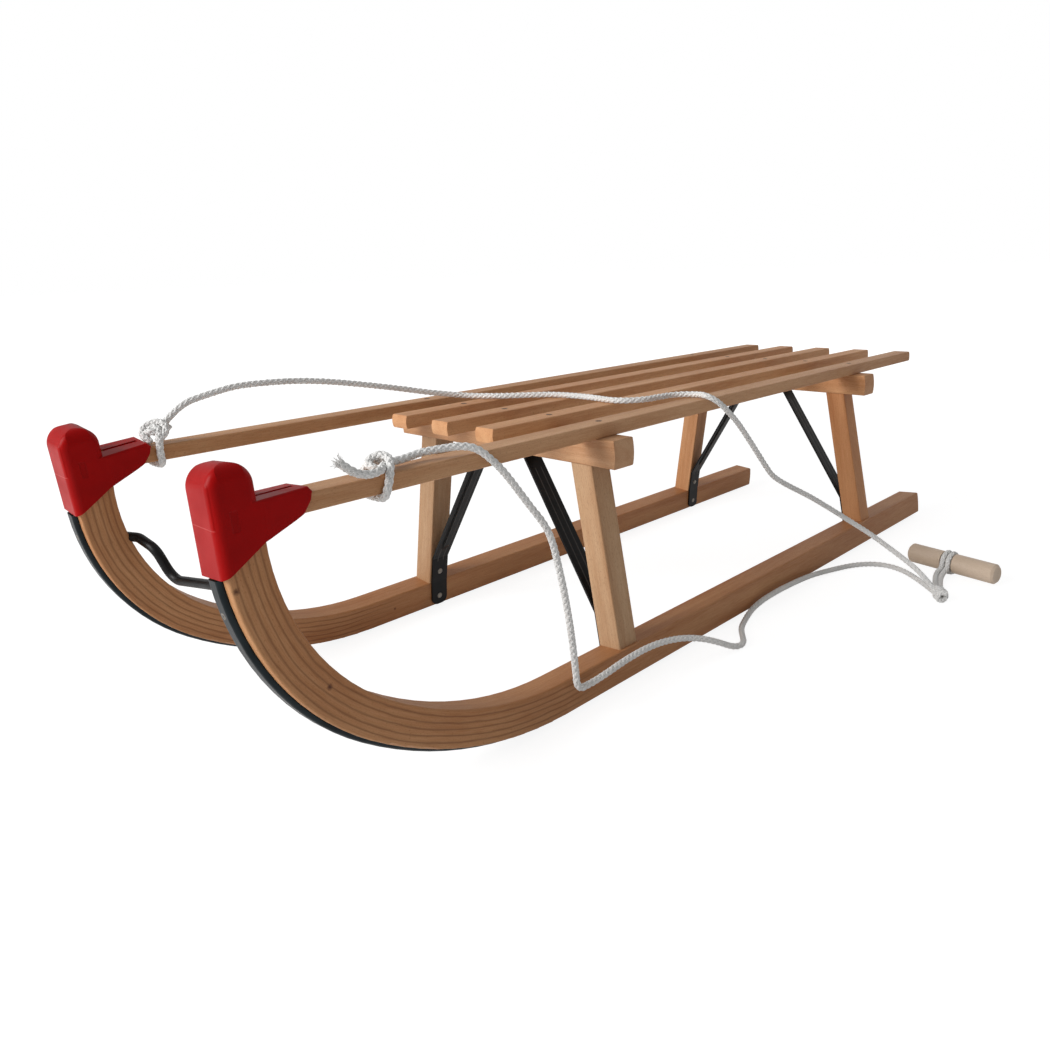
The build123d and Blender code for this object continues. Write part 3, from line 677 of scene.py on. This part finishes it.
class SLED_OT_wood(bpy.types.Operator):
    """Give slats, crossbars, legs and runners their beech grain"""
    bl_idname = "sled.wood"
    bl_label = "Beech"

    def execute(self, context):
        sizes = context.scene.sled_wood
        colours = (tuple(sizes.light), tuple(sizes.dark), tuple(sizes.fleck))
        left_leg, right_leg = (0, LEG_SPLAY, -LEG_DROP), (0, -LEG_SPLAY, -LEG_DROP)
        boards = {
            "side_rail_right": ((1, 0, 0), (1.0, 0.98, 0.95)),
            "slat_right": ((1, 0, 0), (1.12, 1.07, 1.04)),
            "slat_centre": ((1, 0, 0), (1.10, 1.07, 1.04)),
            "slat_left": ((1, 0, 0), (1.13, 1.10, 1.06)),
            "side_rail_left": ((1, 0, 0), (0.98, 1.0, 1.03)),
            "crossbar_front": ((0, 1, 0), (0.96, 1.02, 1.12)),
            "crossbar_rear": ((0, 1, 0), (1.0, 0.95, 0.9)),
            "leg_front_left": (left_leg, (0.90, 1.03, 1.17)),
            "leg_front_right": (right_leg, (0.88, 1.01, 1.15)),
            "leg_rear_left": (left_leg, (0.98, 0.85, 0.74)),
            "leg_rear_right": (right_leg, (1.0, 0.95, 0.9)),
        }
        for number, (node, (axis, tone)) in enumerate(boards.items()):
            finish = Finish("beech_" + node, Specular_IOR_Level=0.22)
            dressed(node, grained(finish, along_axis(finish, axis), colours, tone, number + 1.0))
        for hand, side in SIDES.items():
            node = "runner_" + hand
            finish = Finish("laminated_" + node, Specular_IOR_Level=0.22)
            run, across, depth = bow_space(finish, side)
            layer = RUNNER_HEIGHT / sizes.layers
            wander = finish.noise(finish.joined(run * 20.0, across * 30.0, depth * 80.0), 2.0) - 0.5
            wave = (depth + wander * layer * GLUE_WANDER) / layer * math.pi
            wave = wave.math("SINE").math("ABSOLUTE")
            line = finish.spread(wave, 0.0, 0.7, 1.0, 0.0)
            fade = finish.spread(run + wander * 0.09, sizes.glue_from, sizes.glue_from + GLUE_FADE)
            inside = finish.spread(depth.math("PINGPONG", RUNNER_HEIGHT / 2), layer * 0.2, layer * 0.5)
            faces = finish.spread(across.math("ABSOLUTE"), *GLUE_ACROSS)
            space = finish.joined(run, across, depth)
            glued = line * fade * inside * faces * GLUE_STRENGTH
            dressed(node, grained(finish, space, colours, RUNNER_TONE, 20.0 + side, glued, DARK_KNOTS[node]))
        finish = Finish("turned_handle", Roughness=0.6)
        pale = ((0.66, 0.53, 0.42), (0.54, 0.41, 0.29), (0.38, 0.27, 0.18))
        dressed("handle", grained(finish, along_axis(finish, DOWEL), pale, (1.0, 1.0, 1.0), 33.0))
        return {"FINISHED"}


class SLED_OT_metal(bpy.types.Operator):
    """Finish shoes, braces and stay"""
    bl_idname = "sled.metal"
    bl_label = "Steel and paint"

    def execute(self, context):
        sizes = context.scene.sled_metal
        for hand, side in SIDES.items():
            node = "shoe_" + hand
            finish = Finish("blued_" + node, Metallic=0.85)
            run, across, depth = bow_space(finish, side)
            streak = finish.noise(finish.joined(run * 25.0, across * 1600.0, depth * 900.0), 2.0)
            smear = finish.noise(finish.joined(run * 60.0, across * 200.0, depth * 200.0), 2.0)
            colour = finish.mixed(finish.spread(smear, 0.35, 0.7), tuple(sizes.steel),
                                  tuple(c * 0.62 for c in sizes.steel))
            finish.bump(streak, 0.00006, 0.4)
            dressed(node, finish.show(colour, finish.spread(streak, 0.3, 0.7, 0.30, 0.46)))
        finish = Finish("black_paint", Specular_IOR_Level=0.18)
        skin = finish.stretched(finish.place(), 700.0)
        dust = finish.stretched(finish.place(), 60.0, 3.0)
        colour = finish.mixed(finish.spread(dust, 0.45, 0.75), tuple(sizes.paint), (0.009, 0.008, 0.008))
        x = finish.dot(finish.place(), (1.0, 0.0, 0.0))
        z = finish.dot(finish.place(), (0.0, 0.0, 1.0))
        ribbed = (finish.spread(z, RIB_FOOT, RIB_FOOT + RIB_END)
                  * finish.spread(z, RIB_TOP - RIB_END, RIB_TOP, 1.0, 0.0))
        # Lighter grey lines along both edges of each rib are a painted highlight; the bump also grooves them
        edges = 0.0
        for place in CROSSBARS.values():
            off = ((x - (place - LEG_SETBACK)).math("ABSOLUTE") - RIB_HALF_WIDTH).math("ABSOLUTE")
            edges = finish.spread(off, 0.0003, 0.0010, 1.0, 0.0) + edges
        colour = finish.mixed(edges * ribbed * 0.8, colour, (0.07, 0.068, 0.066))
        finish.bump(skin - edges * ribbed * 0.5, 0.00010, 0.35)
        paint = finish.show(colour, finish.spread(dust, 0.3, 0.7, 0.30, 0.45))
        for node in ["brace_" + place + "_" + hand for place in CROSSBARS for hand in SIDES] + ["front_stay"]:
            dressed(node, paint)
        return {"FINISHED"}


class SLED_OT_caps(bpy.types.Operator):
    """Finish the moulded nose caps"""
    bl_idname = "sled.caps"
    bl_label = "Nose caps"

    def execute(self, context):
        sizes = context.scene.sled_cap
        red = tuple(sizes.red)
        for node, turn in CAP_PITCH.items():
            finish = Finish("red_" + node, Specular_IOR_Level=0.08)
            place = finish.place()
            ahead, up = (math.cos(turn), 0.0, -math.sin(turn)), (math.sin(turn), 0.0, math.cos(turn))
            pivot = Vector((CAP_PIVOT[0], 0.0, CAP_PIVOT[1]))
            along = finish.dot(place, ahead) - pivot.dot(Vector(ahead))
            height = finish.dot(place, up) - pivot.dot(Vector(up))
            skin = finish.stretched(place, 900.0)
            haze = finish.stretched(place, 45.0)
            colour = finish.mixed(finish.spread(haze, 0.35, 0.7), red, (red[0] * 0.86, red[1], red[2]))
            front = finish.spread(along, sizes.ledge_from, sizes.ledge_from + 0.0008)
            ledge = finish.spread(height, sizes.ledge_height - 0.0003, sizes.ledge_height + 0.0003)
            # A lighter red line along the ledge on the front face is a painted highlight, where the ledge
            # would catch the light
            off = (height - sizes.ledge_height).math("ABSOLUTE")
            line = finish.spread(off, 0.0002, 0.0007, 1.0, 0.0) * front
            colour = finish.mixed(line * 0.35, colour, (0.75, 0.10, 0.09))
            # The dent is darker red, a painted shade in its hollow; the bump also dips it
            dent = finish.spread((along - DENT_PLACE[0]).math("ABSOLUTE"),
                                 DENT_HALF_LENGTH - 0.0003, DENT_HALF_LENGTH + 0.0003, 1.0, 0.0)
            dent = dent * finish.spread((height - DENT_PLACE[1]).math("ABSOLUTE"),
                                        DENT_HALF_HEIGHT - 0.0005, DENT_HALF_HEIGHT + 0.0005, 1.0, 0.0)
            colour = finish.mixed(dent * 0.25, colour, (red[0] * 0.55, red[1], red[2]))
            finish.bump(skin * 0.15 + front * ledge - dent * 0.8, 0.0005, 0.8)
            dressed(node, finish.show(colour, finish.spread(haze, 0.3, 0.7, 0.34, 0.44)))
        return {"FINISHED"}


class SLED_OT_screws(bpy.types.Operator):
    """Set the screws in slats, braces and shoes, and the rivets on the braces"""
    bl_idname = "sled.screws"
    bl_label = "Screws and rivets"

    def execute(self, context):
        sizes = context.scene.sled_metal
        heads = {}
        for name, colour in {"plated": tuple(sizes.screw), "browned": tuple(sizes.browned)}.items():
            finish = Finish(name, Metallic=0.8)
            smear = finish.stretched(finish.place(), 900.0, 1.0)
            shade = finish.mixed(finish.spread(smear, 0.3, 0.7), colour, tuple(c * 0.5 for c in colour))
            heads[name] = finish.show(shade, finish.spread(smear, 0.3, 0.7, 0.4, 0.6))
        rng = random.Random(7)

        def set_heads(name, seats, radius, dome, recess, material):
            def fill(form):
                for place, normal in seats:
                    matrix = standing(place + normal * HEAD_LIFT, normal, rng.uniform(0.0, 3.0))
                    screw_head(form, matrix, radius, dome, recess)
            finished(name, fill, heads[material], smooth=not recess)

        across = [(x, y) for y in SLATS.values() for x in CROSSBARS.values()]
        slats = [(Vector((x, y, SEAT)), Vector((0.0, 0.0, 1.0))) for x, y in across]
        set_heads("seat_screws", slats, sizes.screw_radius, SLAT_DOME, True, "browned")
        rivets, tabs, shoes = [], [], []
        # Each line starts clear of its piece: between the braces, below the sled or ahead of the bow
        for place, x in CROSSBARS.items():
            for hand, side in SIDES.items():
                brace = "brace_" + place + "_" + hand
                rivets += [seat_on(brace, (x - LEG_SETBACK, 0.0, z), (0.0, side, 0.0)) for z in RIVET_HEIGHTS]
                tabs.append(seat_on(brace, (x - LEG_SETBACK, side * TAB_SCREW_Y, 0.1), (0.0, 0.0, 1.0)))
        for hand, side in SIDES.items():
            node = "shoe_" + hand
            shoes += [seat_on(node, (x, side * SOLE_Y, -0.1), (0.0, 0.0, 1.0)) for x in SHOE_SCREWS_X]
            shoes.append(seat_on(node, (0.8, side * SHOE_TOP_SCREW[0], SHOE_TOP_SCREW[1]), (-1.0, 0.0, 0.0)))
        set_heads("brace_rivets", rivets, sizes.rivet_radius, RIVET_DOME, False, "plated")
        set_heads("brace_screws", tabs, sizes.screw_radius, TAB_DOME, True, "plated")
        set_heads("shoe_screws", shoes, sizes.screw_radius * SHOE_SCREW_SHARE, SHOE_DOME, True, "plated")
        return {"FINISHED"}


class SLED_OT_ropes(bpy.types.Operator):
    """Braid the two stretches of the tow rope and its knots"""
    bl_idname = "sled.ropes"
    bl_label = "Tow rope"

    def execute(self, context):
        sizes = context.scene.sled_rope
        finish = Finish("white_braid", Roughness=0.75)
        fuzz = finish.stretched(finish.place(), 2500.0)
        soil = finish.stretched(finish.place(), 35.0)
        white = tuple(sizes.white)
        colour = finish.mixed(finish.spread(soil, 0.4, 0.8), white, tuple(c * 0.9 for c in white))
        finish.bump(fuzz, 0.0002, 0.4)
        fibre = finish.show(colour, finish.spread(fuzz, 0.3, 0.7, 0.7, 0.9))
        knots = {node: [route(points) for points in stretches] for node, stretches in KNOTS.items()}
        gap = sizes.diameter / 2 + BIGHT_ROOM
        knots["knot_handle"] = [route(handle_bight(BIGHT_RADIUS, gap)), route(coil(**HANDLE_COIL))]
        for node, lines in knots.items():
            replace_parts(braid("braid_" + node, lines, sizes, fibre, node == "knot_left"), node)
        for node, points in {"rope_right": ROPE_RIGHT, "rope_left": ROPE_LEFT}.items():
            line = route(points)
            piece = braid("braid_" + node, [line], sizes, fibre)
            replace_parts(piece, node)
            path, total = evenly(line, PATH_STEP)
            node == "rope_left"
        return {"FINISHED"}


class SLED_OT_stage(bpy.types.Operator):
    """Make floor, lights and camera"""
    bl_idname = "sled.stage"
    bl_label = "Stage"

    def execute(self, context):
        sizes = context.scene.sled_stage
        scene = context.scene
        scene.view_settings.view_transform = "Standard"
        form = bmesh.new()
        bmesh.ops.create_grid(form, x_segments=1, y_segments=1, size=30.0)
        mesh = bpy.data.meshes.new("floor")
        form.to_mesh(mesh)
        form.free()
        floor = bpy.data.objects.new("floor", mesh)
        scene.collection.objects.link(floor)
        finish = Finish("pale_floor", Roughness=0.9)
        finish.shader.inputs["Base Color"].default_value = (*sizes.floor, 1.0)
        glow = finish.add("ShaderNodeEmission", {}, {"Strength": FLOOR_GLOW})
        away = finish.vector("LENGTH", finish.place(), output=1)
        shown = finish.ray("Camera") + finish.ray("Glossy") * sizes.mirrored
        share = shown * finish.spread(away, *FLOOR_FADE, FLOOR_NEAR_SHARE, 1.0)
        plain = Number(finish, finish.shader.outputs[0])
        both = finish.add("ShaderNodeMixShader", {}, {0: share, 1: plain, 2: glow})
        finish.feed(finish.node("OUTPUT_MATERIAL").inputs["Surface"], both)
        mesh.materials.append(finish.material)

        world = bpy.data.worlds.new("studio")
        scene.world = world
        sky = Shading(world)
        backdrop = sky.node("BACKGROUND")
        shown = sky.ray("Camera") + sky.ray("Glossy") * sizes.mirrored
        backdrop.inputs["Color"].default_value = (1.0, 1.0, 1.0, 1.0)
        sky.feed(backdrop.inputs["Strength"], shown + (1.0 - shown) * sizes.ambient)

        for name, (place, size, share) in LAMPS.items():
            lamp = bpy.data.lights.new(name, "AREA")
            lamp.size = size
            lamp.energy = sizes.key * share
            holder = bpy.data.objects.new(name, lamp)
            holder.location = place
            holder.rotation_euler = (LAMP_TARGET - Vector(place)).to_track_quat("-Z", "Y").to_euler()
            scene.collection.objects.link(holder)

        level = math.cos(CAMERA_ELEVATION)
        back = Vector((math.sin(CAMERA_AZIMUTH) * level, -math.cos(CAMERA_AZIMUTH) * level,
                       math.sin(CAMERA_ELEVATION)))
        right = (-back).cross(Vector((0, 0, 1))).normalized()
        up = right.cross(-back)
        turned_right = right * math.cos(CAMERA_ROLL) + up * math.sin(CAMERA_ROLL)
        turned_up = up * math.cos(CAMERA_ROLL) - right * math.sin(CAMERA_ROLL)
        camera = bpy.data.cameras.new("camera")
        camera.sensor_width = CAMERA_SENSOR
        camera.lens = CAMERA_LENS
        camera.shift_x, camera.shift_y = CAMERA_SHIFT
        camera.clip_start = 0.01
        camera.clip_end = 100.0
        holder = bpy.data.objects.new("camera", camera)
        facing = Matrix((turned_right, turned_up, back)).transposed().to_4x4()
        holder.matrix_world = Matrix.Translation(CAMERA_PLACE) @ facing
        scene.collection.objects.link(holder)
        scene.camera = holder
        return {"FINISHED"}


class SLED_PT_panel(bpy.types.Panel):
    bl_idname = "SLED_PT_panel"
    bl_label = "Davos Sled"
    bl_space_type = "VIEW_3D"
    bl_region_type = "UI"
    bl_category = "Sled"

    def draw(self, context):
        for group in ("sled_wood", "sled_metal", "sled_cap", "sled_rope", "sled_stage"):
            sizes = getattr(context.scene, group)
            box = self.layout.box()
            for prop in sizes.bl_rna.properties.keys():
                if prop not in {"rna_type", "name"}:
                    box.prop(sizes, prop)
        for operator in OPERATORS:
            self.layout.operator(operator.bl_idname)


GROUPS = {
    "sled_wood": SledWoodSizes,
    "sled_metal": SledMetalSizes,
    "sled_cap": SledCapSizes,
    "sled_rope": SledRopeSizes,
    "sled_stage": SledStageSizes,
}
OPERATORS = [SLED_OT_wood, SLED_OT_metal, SLED_OT_caps, SLED_OT_screws, SLED_OT_ropes, SLED_OT_stage]


def register():
    for name, group in GROUPS.items():
        bpy.utils.register_class(group)
        setattr(bpy.types.Scene, name, bpy.props.PointerProperty(type=group))
    for kind in [*OPERATORS, SLED_PT_panel]:
        bpy.utils.register_class(kind)


def unregister():
    for kind in [SLED_PT_panel, *reversed(OPERATORS)]:
        bpy.utils.unregister_class(kind)
    for name, group in GROUPS.items():
        delattr(bpy.types.Scene, name)
        bpy.utils.unregister_class(group)


def main():
    register()
    for operator in ("wood", "metal", "caps", "screws", "ropes", "stage"):
        getattr(bpy.ops.sled, operator)()


if __name__ == "__main__":
    main()
